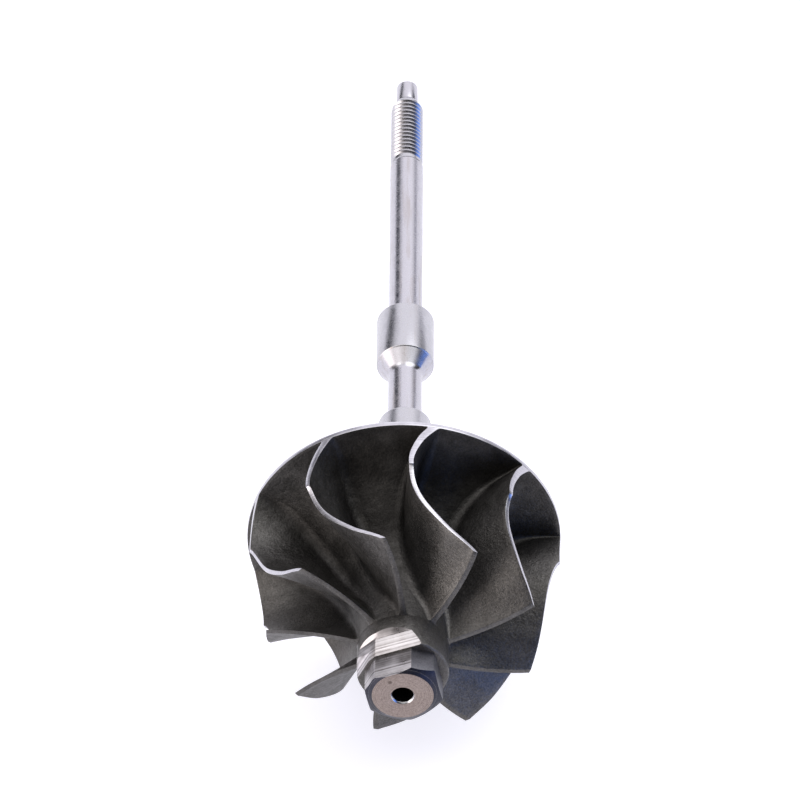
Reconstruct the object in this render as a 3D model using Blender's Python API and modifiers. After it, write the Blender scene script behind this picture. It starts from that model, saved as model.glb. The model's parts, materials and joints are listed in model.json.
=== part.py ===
"""Turbocharger turbine wheel: a nine-blade radial wheel on its shaft, lying tail down.

All lengths are in metres. Along the rotor, s is 0 at the back edge of the wheel's rim,
grows towards the nose and is negative along the shaft. In the pieces' own space s is Z.
"""
import math

import bmesh
import bpy
from mathutils import Matrix, Vector

MM = 0.001

# Wheel
WHEEL_RADIUS = 27.5 * MM
RIM_FRONT_S = 0.9 * MM
RIM_LAND = 1.9 * MM
BACK_DEPTH = 5.6 * MM
# The back's curve from the land to the boss: distance off the boss, height over its end
BACK_CURVE = ((4.0 * MM, 1.5 * MM), (1.0 * MM, 0.4 * MM), (0.0, 0.0))
HUB_LENGTH = 28.0 * MM
HUB_HOLLOW = 1.9
HUB_FOOT = 0.06
NOSE_RADIUS = 8.0 * MM

# Blades
BLADE_COUNT = 9
INLET_WIDTH = 10.4 * MM
EXDUCER_S = 24.9 * MM
EXDUCER_RADIUS = 23.8 * MM
SHROUD_HOLLOW = 1.5
ROOT_GAP = 0.3 * MM
EDGE_THICKNESS = 0.8 * MM
ROOT_THICKNESS = 1.4 * MM
TRAILING_THINNING = 0.35
TRAILING_START = 0.6
ROOT_FLARE = 2.4 * MM
ROOT_FLARE_POWER = 9.0
SPAN_CROWDING = 1.6
# The blades' angle in degrees at stations of s, the same all the way out from the axis
CAMBER = (
    (0.0 * MM, -28.0),
    (4.4 * MM, -34.4),
    (9.8 * MM, -37.6),
    (15.8 * MM, -34.0),
    (21.4 * MM, -21.8),
    (24.9 * MM, -8.7),
    (28.0 * MM, -1.0),
)

# Nose
NOSE_SHOULDER_S = 34.35 * MM
NOSE_CHAMFER = 0.35 * MM
HEX_FLATS = 12.75 * MM
HEX_CORNER_ANGLE = 48.5
HEX_END_S = 39.35 * MM
NOSE_END_S = 39.75 * MM
NOSE_END_RADIUS = 5.35 * MM
END_CHAMFER_SLOPE = 1.55
CENTRE_HOLE_RADIUS = 1.8 * MM
CENTRE_HOLE_DEPTH = 4.5 * MM
CENTRE_CONE_DEPTH = 1.0 * MM

# Balance grinding: a facet on the nose, sloping down to the hexagon, and a flat along it.
# Each cut has its angle round the axis and three distances from the axis: of the facet's
# start and end, and of the flat
GROUND_CUTS = (
    (-21.3, 6.82 * MM, 5.62 * MM, 5.31 * MM),
    (-65.0, 7.55 * MM, 6.77 * MM, 6.15 * MM),
)
GROUND_START_S = 31.5 * MM
GROUND_WALL_SLOPE = 0.58
GROUND_REACH = 12.0 * MM
CUTTER_MARGIN = 0.5 * MM

# Shaft
BOSS_RADIUS = 4.7 * MM
BOSS_END_S = -30.4 * MM
BOSS_SHOULDER = 2.6 * MM
NECK_RADIUS = 3.0 * MM
NECK_FILLET = 1.7 * MM
NECK_FILLET_STEPS = 5
COLLAR_RADIUS = 5.13 * MM
COLLAR_START_S = -43.4 * MM
COLLAR_END_S = -54.8 * MM
COLLAR_CHAMFER = 0.3 * MM
JOURNAL_RADIUS = 3.0 * MM
THREAD_START_S = -96.6 * MM
THREAD_END_S = -112.0 * MM
THREAD_PITCH = 1.0 * MM
THREAD_DEPTH = 0.55 * MM
THREAD_CREST = 0.2
STUB_CONE_END_S = -114.2 * MM
STUB_RADIUS = 1.93 * MM
STUB_END_S = -118.8 * MM
STUB_CHAMFER = 0.3 * MM

# Facets. Two more than a multiple of four puts a flat underneath and a corner at each side
WHEEL_SIDES = 34
SHAFT_SIDES = 30
SMOOTH_ANGLE = 35.0
HUB_STEPS = 14
BLADE_STEPS = 14
SPAN_STEPS = 7
MERGE = 0.00001


def clear_scene():
    for old in list(bpy.data.objects):
        bpy.data.objects.remove(old, do_unlink=True)


def new_collection(name):
    collection = bpy.data.collections.new(name)
    bpy.context.scene.collection.children.link(collection)
    return collection


def metal(name, colour, roughness, metallic):
    material = bpy.data.materials.new(name)
    material.use_nodes = True
    shader = material.node_tree.nodes["Principled BSDF"]
    shader.inputs["Base Color"].default_value = (*colour, 1.0)
    shader.inputs["Roughness"].default_value = roughness
    shader.inputs["Metallic"].default_value = metallic
    return material


def cast_alloy(name):
    return metal(name, (0.115, 0.108, 0.102), 0.52, 0.85)


def ground_steel(name):
    return metal(name, (0.62, 0.62, 0.64), 0.24, 1.0)


def turned_steel(name):
    return metal(name, (0.50, 0.49, 0.50), 0.34, 1.0)


def tan_end(name):
    return metal(name, (0.40, 0.35, 0.29), 0.42, 0.9)


def add_piece(name, mesh, collection, material, axis):
    """Link a mesh as one named piece that rides on the rotor's axis."""
    piece = bpy.data.objects.new(name, mesh)
    collection.objects.link(piece)
    piece.parent = axis
    mesh.materials.append(material)
    return piece


def turned_piece(name, profile, sides, collection, material, axis):
    """Turn a profile of (radius, s) points, listed from the nose end to the tail end.

    The radius is that of the flats, so the corners lie a little further out.
    """
    base = profile[-1][1]
    mesh = bpy.data.meshes.new(name)
    corner = 1.0 / math.cos(math.pi / sides)
    points = [(radius * corner, 0.0, s - base) for radius, s in profile]
    edges = [(index, index + 1) for index in range(len(points) - 1)]
    mesh.from_pydata(points, edges, [])
    piece = add_piece(name, mesh, collection, material, axis)
    piece.location = (0.0, 0.0, base)
    screw = piece.modifiers.new("turn", "SCREW")
    screw.axis = "Z"
    screw.steps = sides
    screw.render_steps = sides
    screw.use_merge_vertices = True
    screw.merge_threshold = MERGE
    screw.use_smooth_shade = False
    return piece


def make_cutter(piece):
    """Keep a piece out of sight: it only takes material away."""
    piece.hide_render = True
    piece.display_type = "WIRE"
    return piece


def cut(piece, cutter, operation="DIFFERENCE"):
    boolean = piece.modifiers.new(cutter.name, "BOOLEAN")
    boolean.operation = operation
    boolean.solver = "EXACT"
    boolean.object = cutter


def hub_point(u):
    """The hub's outline from the rim (u = 0) to the nose (u = 1), as (radius, s)."""
    turn = u * math.pi / 2
    power = 2.0 / HUB_HOLLOW
    radius = WHEEL_RADIUS - (WHEEL_RADIUS - NOSE_RADIUS) * math.sin(turn) ** power
    length = HUB_LENGTH - RIM_FRONT_S
    return radius, RIM_FRONT_S + length * (1.0 - max(math.cos(turn), 0.0) ** power)


def root_point(u):
    """The hub's outline moved off the hub by the root gap."""
    step = 0.002
    before = hub_point(max(u - step, 0.0))
    after = hub_point(min(u + step, 1.0))
    along = Vector((after[0] - before[0], after[1] - before[1])).normalized()
    radius, s = hub_point(u)
    radius = min(radius + along.y * ROOT_GAP, WHEEL_RADIUS)
    return radius, s - along.x * ROOT_GAP


def shroud_point(u):
    """The blades' outer edge from the inlet corner (u = 0) to the exducer tip (u = 1)."""
    turn = u * math.pi / 2
    power = 2.0 / SHROUD_HOLLOW
    radius = WHEEL_RADIUS - (WHEEL_RADIUS - EXDUCER_RADIUS) * math.sin(turn) ** power
    length = EXDUCER_S - INLET_WIDTH
    return radius, INLET_WIDTH + length * (1.0 - max(math.cos(turn), 0.0) ** power)


def smooth_through(stations, x):
    """Read a smooth curve through a few (x, y) stations: a cubic over each interval."""
    count = len(stations)
    right = 1
    while right < count - 1 and x > stations[right][0]:
        right += 1
    left = right - 1

    def slope(index):
        before = stations[max(index - 1, 0)]
        after = stations[min(index + 1, count - 1)]
        return (after[1] - before[1]) / (after[0] - before[0])

    width = stations[right][0] - stations[left][0]
    share = (x - stations[left][0]) / width
    bend_left = slope(left) * width
    bend_right = slope(right) * width
    rise = stations[right][1] - stations[left][1]
    curve = share * bend_left
    curve += share ** 2 * (3.0 * rise - 2.0 * bend_left - bend_right)
    curve += share ** 3 * (bend_left + bend_right - 2.0 * rise)
    return stations[left][1] + curve


def blade_point(u, v, turn):
    """A point of a blade's middle surface, u along the flow and v from root to edge."""
    root_radius, root_s = root_point(u)
    edge_radius, edge_s = shroud_point(u)
    radius = root_radius + (edge_radius - root_radius) * v
    s = root_s + (edge_s - root_s) * v
    angle = math.radians(smooth_through(CAMBER, s) + turn)
    return Vector((radius * math.sin(angle), radius * math.cos(angle), s))


def blade_side(u, v, turn, side):
    """A point of one side of a blade: the middle surface turned by half the thickness."""
    step = 0.001
    middle = blade_point(u, v, turn)
    along = blade_point(min(u + step, 1.0), v, turn) - blade_point(max(u - step, 0.0), v, turn)
    across = blade_point(u, min(v + step, 1.0), turn) - blade_point(u, max(v - step, 0.0), turn)
    normal = along.cross(across).normalized()
    radius = math.hypot(middle.x, middle.y)
    sideways = Vector((middle.y, -middle.x, 0.0)) / radius
    thickness = EDGE_THICKNESS + (ROOT_THICKNESS - EDGE_THICKNESS) * (1.0 - v)
    thinning = max(u - TRAILING_START, 0.0) / (1.0 - TRAILING_START)
    thickness *= 1.0 - TRAILING_THINNING * thinning
    thickness += ROOT_FLARE * (1.0 - v) ** ROOT_FLARE_POWER
    shift = side * thickness / 2.0 / abs(normal.dot(sideways))
    return Matrix.Rotation(-shift / radius, 3, "Z") @ middle


def blade_grid(shape, turn, side):
    """Lay a grid on one side of a blade."""
    made = bmesh.ops.create_grid(
        shape, x_segments=BLADE_STEPS, y_segments=SPAN_STEPS, size=1.0
    )
    for vert in made["verts"]:
        u = (vert.co.x + 1.0) / 2.0
        v = ((vert.co.y + 1.0) / 2.0) ** SPAN_CROWDING
        vert.co = blade_side(u, v, turn, side)


def blade(number, collection, axis):
    """A curved vane: two grids, one for each side, bridged round their edges."""
    name = f"blade_{number}"
    turn = (number - 1) * 360.0 / BLADE_COUNT
    shape = bmesh.new()
    for side in (-1.0, 1.0):
        blade_grid(shape, turn, side)
    rims = [edge for edge in shape.edges if edge.is_boundary]
    bmesh.ops.bridge_loops(shape, edges=rims)
    bmesh.ops.recalc_face_normals(shape, faces=shape.faces)
    mesh = bpy.data.meshes.new(name)
    shape.to_mesh(mesh)
    shape.free()
    return add_piece(name, mesh, collection, cast_alloy(name), axis)


def hub(collection, axis):
    outline = [(0.0, HUB_LENGTH)]
    for step in range(HUB_STEPS + 1):
        outline.append(hub_point(1.0 - (1.0 - HUB_FOOT) * step / HUB_STEPS))
    outline.append((outline[-1][0], RIM_FRONT_S))
    outline.append((0.0, RIM_FRONT_S))
    return turned_piece("hub", outline, WHEEL_SIDES, collection, cast_alloy("hub"), axis)


def back_disc(collection, axis):
    outline = [
        (0.0, RIM_FRONT_S),
        (WHEEL_RADIUS, RIM_FRONT_S),
        (WHEEL_RADIUS, 0.0),
        (WHEEL_RADIUS - RIM_LAND, 0.0),
    ]
    for outward, height in BACK_CURVE:
        outline.append((BOSS_RADIUS + outward, height - BACK_DEPTH))
    outline.append((0.0, -BACK_DEPTH))
    material = cast_alloy("back_disc")
    return turned_piece("back_disc", outline, WHEEL_SIDES, collection, material, axis)


def ground_cutter(name, angle, rear, front, collection, axis):
    """A block that grinds a facet between two (s, distance) points, square to an angle."""
    wall = (GROUND_REACH - rear[1]) * GROUND_WALL_SLOPE
    outer = ((rear[0] - wall, GROUND_REACH), (front[0], GROUND_REACH))
    mesh = bpy.data.meshes.new(name)
    shape = bmesh.new()
    bmesh.ops.create_cube(shape, size=2.0)
    for vert in shape.verts:
        ahead = int(vert.co.z > 0.0)
        s, distance = outer[ahead] if vert.co.y > 0.0 else (rear, front)[ahead]
        vert.co = Vector((vert.co.x * GROUND_REACH, distance, s))
    shape.to_mesh(mesh)
    shape.free()
    cutter = bpy.data.objects.new(name, mesh)
    collection.objects.link(cutter)
    cutter.parent = axis
    cutter.rotation_euler = (0.0, 0.0, math.radians(-angle))
    return make_cutter(cutter)


def grind(number, cutters, nose, ends, axis):
    """Grind one balance cut into the nose and into the pieces in front of its shoulder."""
    angle, start, end, flat = GROUND_CUTS[number]
    slope = (end - start) / (NOSE_SHOULDER_S - GROUND_START_S)
    beyond = (NOSE_SHOULDER_S + CUTTER_MARGIN, end + slope * CUTTER_MARGIN)
    name = f"ground_facet_{number + 1}"
    cut(nose, ground_cutter(name, angle, (GROUND_START_S, start), beyond, cutters, axis))
    rear = (NOSE_SHOULDER_S - CUTTER_MARGIN, flat)
    front = (NOSE_END_S + CUTTER_MARGIN, flat)
    flat_cutter = ground_cutter(f"ground_flat_{number + 1}", angle, rear, front, cutters, axis)
    for piece in ends:
        cut(piece, flat_cutter)


def hub_nose(collection, axis):
    outline = [
        (0.0, NOSE_SHOULDER_S),
        (NOSE_RADIUS - NOSE_CHAMFER, NOSE_SHOULDER_S),
        (NOSE_RADIUS, NOSE_SHOULDER_S - NOSE_CHAMFER),
        (NOSE_RADIUS, HUB_LENGTH),
        (0.0, HUB_LENGTH),
    ]
    material = cast_alloy("hub_nose")
    return turned_piece("hub_nose", outline, WHEEL_SIDES, collection, material, axis)


def centre_drill(collection, axis):
    """The drilled centre: a plain hole with a conical bottom."""
    mouth = NOSE_END_S + CUTTER_MARGIN
    bottom = NOSE_END_S - CENTRE_HOLE_DEPTH
    outline = [
        (0.0, mouth),
        (CENTRE_HOLE_RADIUS, mouth),
        (CENTRE_HOLE_RADIUS, bottom),
        (0.0, bottom - CENTRE_CONE_DEPTH),
    ]
    material = turned_steel("centre_drill")
    drill = turned_piece("centre_drill", outline, SHAFT_SIDES, collection, material, axis)
    return make_cutter(drill)


def chamfer_radius(s):
    """The radius of the cone that turns the nose's front corners down to the end face."""
    return NOSE_END_RADIUS + (NOSE_END_S - s) * END_CHAMFER_SLOPE


def chamfer_cone(collection, axis):
    """The cone that the hexagon's front corners are turned down to."""
    front = HEX_END_S + CUTTER_MARGIN / 2.0
    low = NOSE_SHOULDER_S - CUTTER_MARGIN
    outline = [
        (0.0, front),
        (chamfer_radius(front), front),
        (chamfer_radius(low), low),
        (0.0, low),
    ]
    material = turned_steel("chamfer_cone")
    cone = turned_piece("chamfer_cone", outline, WHEEL_SIDES, collection, material, axis)
    return make_cutter(cone)


def hex_nose(collection, cutters, drill, axis):
    """The hexagon that a socket holds while the shaft's nut is tightened."""
    length = HEX_END_S - NOSE_SHOULDER_S
    mesh = bpy.data.meshes.new("hex_nose")
    shape = bmesh.new()
    corner = HEX_FLATS / 2.0 / math.cos(math.pi / 6.0)
    bmesh.ops.create_cone(
        shape, cap_ends=True, segments=6, radius1=corner, radius2=corner, depth=length
    )
    first = min(shape.verts, key=lambda vert: abs(math.atan2(vert.co.y, vert.co.x)))
    start = math.atan2(first.co.y, first.co.x)
    bmesh.ops.translate(shape, verts=shape.verts, vec=(0.0, 0.0, length / 2.0))
    shape.to_mesh(mesh)
    shape.free()
    piece = add_piece("hex_nose", mesh, collection, cast_alloy("hex_nose"), axis)
    piece.location = (0.0, 0.0, NOSE_SHOULDER_S)
    piece.rotation_euler = (0.0, 0.0, math.radians(90.0 - HEX_CORNER_ANGLE) - start)
    cut(piece, chamfer_cone(cutters, axis), "INTERSECT")
    cut(piece, drill)
    return piece


def nose_end(collection, drill, axis):
    outline = [
        (0.0, NOSE_END_S),
        (NOSE_END_RADIUS, NOSE_END_S),
        (chamfer_radius(HEX_END_S), HEX_END_S),
        (0.0, HEX_END_S),
    ]
    material = tan_end("nose_end")
    piece = turned_piece("nose_end", outline, WHEEL_SIDES, collection, material, axis)
    cut(piece, drill)
    return piece


def weld_boss(collection, axis):
    outline = [
        (0.0, -BACK_DEPTH),
        (BOSS_RADIUS, -BACK_DEPTH),
        (BOSS_RADIUS, BOSS_END_S + BOSS_SHOULDER),
        (NECK_RADIUS, BOSS_END_S),
        (0.0, BOSS_END_S),
    ]
    material = cast_alloy("weld_boss")
    return turned_piece("weld_boss", outline, SHAFT_SIDES, collection, material, axis)


def neck(collection, axis):
    """The slim stretch behind the wheel, with a round fillet where it meets the collar."""
    outline = [(0.0, BOSS_END_S), (NECK_RADIUS, BOSS_END_S)]
    for step in range(NECK_FILLET_STEPS + 1):
        turn = step / NECK_FILLET_STEPS * math.pi / 2
        radius = NECK_RADIUS + NECK_FILLET * (1.0 - math.cos(turn))
        outline.append((radius, COLLAR_START_S + NECK_FILLET * (1.0 - math.sin(turn))))
    outline.append((0.0, COLLAR_START_S))
    material = ground_steel("neck")
    return turned_piece("neck", outline, SHAFT_SIDES, collection, material, axis)


def collar(collection, axis):
    outline = [
        (0.0, COLLAR_START_S),
        (COLLAR_RADIUS - COLLAR_CHAMFER, COLLAR_START_S),
        (COLLAR_RADIUS, COLLAR_START_S - COLLAR_CHAMFER),
        (COLLAR_RADIUS, COLLAR_END_S + COLLAR_CHAMFER),
        (COLLAR_RADIUS - COLLAR_CHAMFER, COLLAR_END_S),
        (0.0, COLLAR_END_S),
    ]
    material = turned_steel("collar")
    return turned_piece("collar", outline, SHAFT_SIDES, collection, material, axis)


def journal(collection, axis):
    outline = [
        (0.0, COLLAR_END_S),
        (JOURNAL_RADIUS, COLLAR_END_S),
        (JOURNAL_RADIUS, THREAD_START_S),
        (0.0, THREAD_START_S),
    ]
    material = ground_steel("journal")
    return turned_piece("journal", outline, SHAFT_SIDES, collection, material, axis)


def thread(collection, axis):
    """The nut's thread, as a row of grooves."""
    outline = [(0.0, THREAD_START_S), (JOURNAL_RADIUS, THREAD_START_S)]
    length = THREAD_START_S - THREAD_END_S
    grooves = int(length / THREAD_PITCH)
    first = THREAD_START_S - (length - grooves * THREAD_PITCH) / 2.0
    half_groove = (1.0 - THREAD_CREST) / 2.0 * THREAD_PITCH
    for groove in range(grooves):
        middle = first - (groove + 0.5) * THREAD_PITCH
        outline.append((JOURNAL_RADIUS, middle + half_groove))
        outline.append((JOURNAL_RADIUS - THREAD_DEPTH, middle))
        outline.append((JOURNAL_RADIUS, middle - half_groove))
    outline.append((JOURNAL_RADIUS, THREAD_END_S))
    outline.append((STUB_RADIUS, STUB_CONE_END_S))
    outline.append((0.0, STUB_CONE_END_S))
    material = turned_steel("thread")
    return turned_piece("thread", outline, SHAFT_SIDES, collection, material, axis)


def stub_tip(collection, axis):
    outline = [
        (0.0, STUB_CONE_END_S),
        (STUB_RADIUS, STUB_CONE_END_S),
        (STUB_RADIUS, STUB_END_S + STUB_CHAMFER),
        (STUB_RADIUS - STUB_CHAMFER, STUB_END_S),
        (0.0, STUB_END_S),
    ]
    material = ground_steel("stub_tip")
    return turned_piece("stub_tip", outline, SHAFT_SIDES, collection, material, axis)


def lying_tilt():
    """How far the nose is raised when the rim and the shaft's tip touch the floor."""
    return math.atan2(WHEEL_RADIUS - STUB_RADIUS, abs(STUB_END_S + STUB_CHAMFER))


def stand_on_floor(collection, axis):
    """Move the axis so that the rotor's box is centred on the origin and starts at z = 0."""
    bpy.context.view_layer.update()
    graph = bpy.context.evaluated_depsgraph_get()
    points = []
    for piece in collection.objects:
        solid = piece.evaluated_get(graph)
        points.extend(solid.matrix_world @ vert.co for vert in solid.data.vertices)
    low = Vector(min(point[i] for point in points) for i in range(3))
    high = Vector(max(point[i] for point in points) for i in range(3))
    axis.location -= Vector(((low.x + high.x) / 2.0, (low.y + high.y) / 2.0, low.z))


def shade(collection):
    for piece in collection.objects:
        piece.data.shade_smooth()
        piece.data.set_sharp_from_angle(angle=math.radians(SMOOTH_ANGLE))


def main():
    clear_scene()
    pieces = new_collection("turbine_wheel")
    cutters = new_collection("cutters")
    axis = bpy.data.objects.new("rotor_axis", None)
    bpy.context.scene.collection.objects.link(axis)
    axis.rotation_euler = (math.pi / 2.0 - lying_tilt(), 0.0, 0.0)
    back_disc(pieces, axis)
    hub(pieces, axis)
    for number in range(1, BLADE_COUNT + 1):
        blade(number, pieces, axis)
    drill = centre_drill(cutters, axis)
    nose = hub_nose(pieces, axis)
    ends = (hex_nose(pieces, cutters, drill, axis), nose_end(pieces, drill, axis))
    for number in range(len(GROUND_CUTS)):
        grind(number, cutters, nose, ends, axis)
    weld_boss(pieces, axis)
    neck(pieces, axis)
    collar(pieces, axis)
    journal(pieces, axis)
    thread(pieces, axis)
    stub_tip(pieces, axis)
    shade(pieces)
    stand_on_floor(pieces, axis)


main()
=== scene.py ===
"""The look of the turbocharger turbine wheel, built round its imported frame.

Lengths are in metres. The rotor's own space has its origin at the centre of the wheel's rim,
at the rim's back edge, with Z along the axis towards the nose, X to the right and Y upwards.
Every piece is shaped in that space and then laid down where the frame's rotor lies.
"""
import json
import logging
import math
from collections.abc import Callable, Iterator, Sequence
from contextlib import contextmanager
from dataclasses import dataclass
from enum import Enum

import bpy
from mathutils import Matrix, Vector


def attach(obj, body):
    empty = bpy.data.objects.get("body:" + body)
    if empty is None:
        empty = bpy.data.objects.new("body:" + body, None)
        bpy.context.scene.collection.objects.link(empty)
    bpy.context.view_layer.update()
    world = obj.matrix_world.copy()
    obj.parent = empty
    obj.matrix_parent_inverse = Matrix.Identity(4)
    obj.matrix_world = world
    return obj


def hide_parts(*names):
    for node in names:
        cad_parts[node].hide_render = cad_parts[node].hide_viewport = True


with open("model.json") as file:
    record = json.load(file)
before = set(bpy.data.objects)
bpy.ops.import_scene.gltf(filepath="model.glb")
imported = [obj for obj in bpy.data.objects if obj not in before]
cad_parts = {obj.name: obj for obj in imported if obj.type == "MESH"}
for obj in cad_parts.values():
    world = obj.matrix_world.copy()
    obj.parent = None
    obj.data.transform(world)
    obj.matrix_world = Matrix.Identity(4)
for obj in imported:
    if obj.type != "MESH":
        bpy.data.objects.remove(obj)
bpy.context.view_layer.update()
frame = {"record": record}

LOG = logging.getLogger("turbine_wheel")
MM = 0.001
Outline = Sequence[tuple[float, float]]
Colour = tuple[float, float, float]


class Slot(Enum):
    """The record's material slots."""

    WHEEL = "wheel_casting"
    NOSE_END = "nose_end_face"
    GROUND = "shaft_ground"
    TURNED = "shaft_turned"


@dataclass(frozen=True)
class RotorAxis:
    """Where the rotor lies: the rim's centre and the rotor's three directions."""

    origin: Vector
    nose: Vector

    @classmethod
    def from_record(cls, record: dict, tail_length: float) -> "RotorAxis":
        """Find the axis from the mount on the shaft's end.

        Args:
            record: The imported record.
            tail_length: The distance from the rim's back edge to the shaft's end.

        Returns:
            The axis of the rotor as it lies.
        """
        end = next(mount for mount in record["mounts"] if mount["name"] == "shaft_end_face")
        nose = -Vector(end["axis"]).normalized()
        return cls(Vector(end["pos_m"]) + nose * tail_length, nose)

    @property
    def side(self) -> Vector:
        """The rotor's X: to the right, seen from the nose's side."""
        return Vector((1.0, 0.0, 0.0))

    @property
    def up(self) -> Vector:
        """The rotor's Y: square to its axis, upwards."""
        return self.nose.cross(self.side).normalized()

    @property
    def matrix(self) -> Matrix:
        """The move from the rotor's own space to where it lies."""
        turn = Matrix((self.side, self.up, self.nose)).transposed().to_4x4()
        return Matrix.Translation(self.origin) @ turn


class Bench:
    """Work done by hand on one piece at a time."""

    @staticmethod
    def pick(*pieces: bpy.types.Object) -> None:
        """Select some pieces and nothing else, the first one active.

        Args:
            pieces: The pieces to select.
        """
        bpy.ops.object.select_all(action="DESELECT")
        for piece in pieces:
            piece.select_set(True)
        bpy.context.view_layer.objects.active = pieces[0]

    @staticmethod
    @contextmanager
    def editing(piece: bpy.types.Object, select: str = "SELECT") -> Iterator[None]:
        """Keep a piece in edit mode for a while.

        Args:
            piece: The piece.
            select: What select_all does first.
        """
        Bench.pick(piece)
        bpy.ops.object.mode_set(mode="EDIT")
        bpy.ops.mesh.select_all(action=select)
        yield
        bpy.ops.object.mode_set(mode="OBJECT")

    @staticmethod
    def named(name: str) -> bpy.types.Object:
        """Name the piece that was just added.

        Args:
            name: The new name of the piece and its mesh.

        Returns:
            The piece.
        """
        piece = bpy.context.active_object
        piece.name = name
        piece.data.name = name
        return piece

    @staticmethod
    def turned(name: str, outline: Outline, sides: int) -> bpy.types.Object:
        """Turn a solid: a disc is extruded from ring to ring along an outline.

        Args:
            name: The name of the piece.
            outline: Rings as (radius, place along the axis); the last may have radius 0.
            sides: The number of sides.

        Returns:
            The closed piece.
        """
        radius, place = outline[0]
        bpy.ops.object.select_all(action="DESELECT")
        bpy.ops.mesh.primitive_circle_add(
            vertices=sides, radius=radius, fill_type="NGON", location=(0.0, 0.0, place)
        )
        piece = Bench.named(name)
        with Bench.editing(piece):
            for next_radius, next_place in outline[1:]:
                step = (0.0, 0.0, next_place - place)
                bpy.ops.mesh.extrude_region_move(TRANSFORM_OT_translate={"value": step})
                scale = next_radius / radius
                bpy.ops.transform.resize(
                    value=(scale, scale, 1.0), center_override=(0.0, 0.0, next_place)
                )
                radius, place = next_radius, next_place
            bpy.ops.mesh.select_all(action="SELECT")
            bpy.ops.mesh.remove_doubles(threshold=MM / 1000.0)
            bpy.ops.mesh.normals_make_consistent(inside=False)
        bpy.ops.object.transform_apply(location=True, rotation=True, scale=True)
        return piece

    @staticmethod
    def apply(piece: bpy.types.Object, kind: str, **settings: object) -> None:
        """Add a modifier to a piece and apply it.

        Args:
            piece: The piece.
            kind: The modifier's type.
            settings: The modifier's settings.
        """
        Bench.pick(piece)
        modifier = piece.modifiers.new(kind.lower(), kind)
        for key, value in settings.items():
            setattr(modifier, key, value)
        bpy.ops.object.modifier_apply(modifier=modifier.name)

    @staticmethod
    def bevel(piece: bpy.types.Object, width: float, angle: float = 30.0) -> None:
        """Break the sharp edges of a piece.

        Args:
            piece: The piece.
            width: The width of the bevel.
            angle: The least angle in degrees between two faces whose edge is bevelled.
        """
        Bench.apply(
            piece, "BEVEL", width=width, segments=2, limit_method="ANGLE",
            angle_limit=math.radians(angle), use_clamp_overlap=True,
        )

    @staticmethod
    def combine(piece: bpy.types.Object, tool: bpy.types.Object, operation: str) -> None:
        """Cut a piece with another one, which is then thrown away.

        Args:
            piece: The piece to keep.
            tool: The other piece; new faces take its finish.
            operation: DIFFERENCE or INTERSECT.
        """
        Bench.apply(
            piece, "BOOLEAN", object=tool, operation=operation, solver="EXACT",
            material_mode="TRANSFER",
        )
        bpy.data.objects.remove(tool, do_unlink=True)

    @staticmethod
    def paint(
        piece: bpy.types.Object, finish: bpy.types.Material, where: Callable[[Vector], bool]
    ) -> None:
        """Give a second finish to the faces whose middles pass a test.

        Args:
            piece: The piece.
            finish: The finish of those faces.
            where: Takes a face's middle and says whether it gets the finish.
        """
        if finish.name not in piece.data.materials:
            piece.data.materials.append(finish)
        index = piece.data.materials.find(finish.name)
        for face in piece.data.polygons:
            if where(face.center):
                face.material_index = index

    @staticmethod
    def finish_piece(
        piece: bpy.types.Object, axis: RotorAxis, slot: Slot, nodes: Sequence[str],
        angle: float = 30.0,
    ) -> None:
        """Lay a piece down where the rotor lies and put it in place of its frame nodes.

        Args:
            piece: The piece, in the rotor's own space.
            axis: Where the rotor lies.
            slot: The record's slot of its finish; not used.
            nodes: The nodes it stands for.
            angle: Edges sharper than this many degrees stay sharp in the shading.
        """
        Bench.pick(piece)
        piece.matrix_world = axis.matrix @ piece.matrix_world
        bpy.ops.object.transform_apply(location=True, rotation=True, scale=True)
        bpy.ops.object.shade_smooth_by_angle(angle=math.radians(angle))
        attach(piece, "root")
        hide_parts(*nodes)
        LOG.info("%s: %d faces", piece.name, len(piece.data.polygons))


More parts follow.
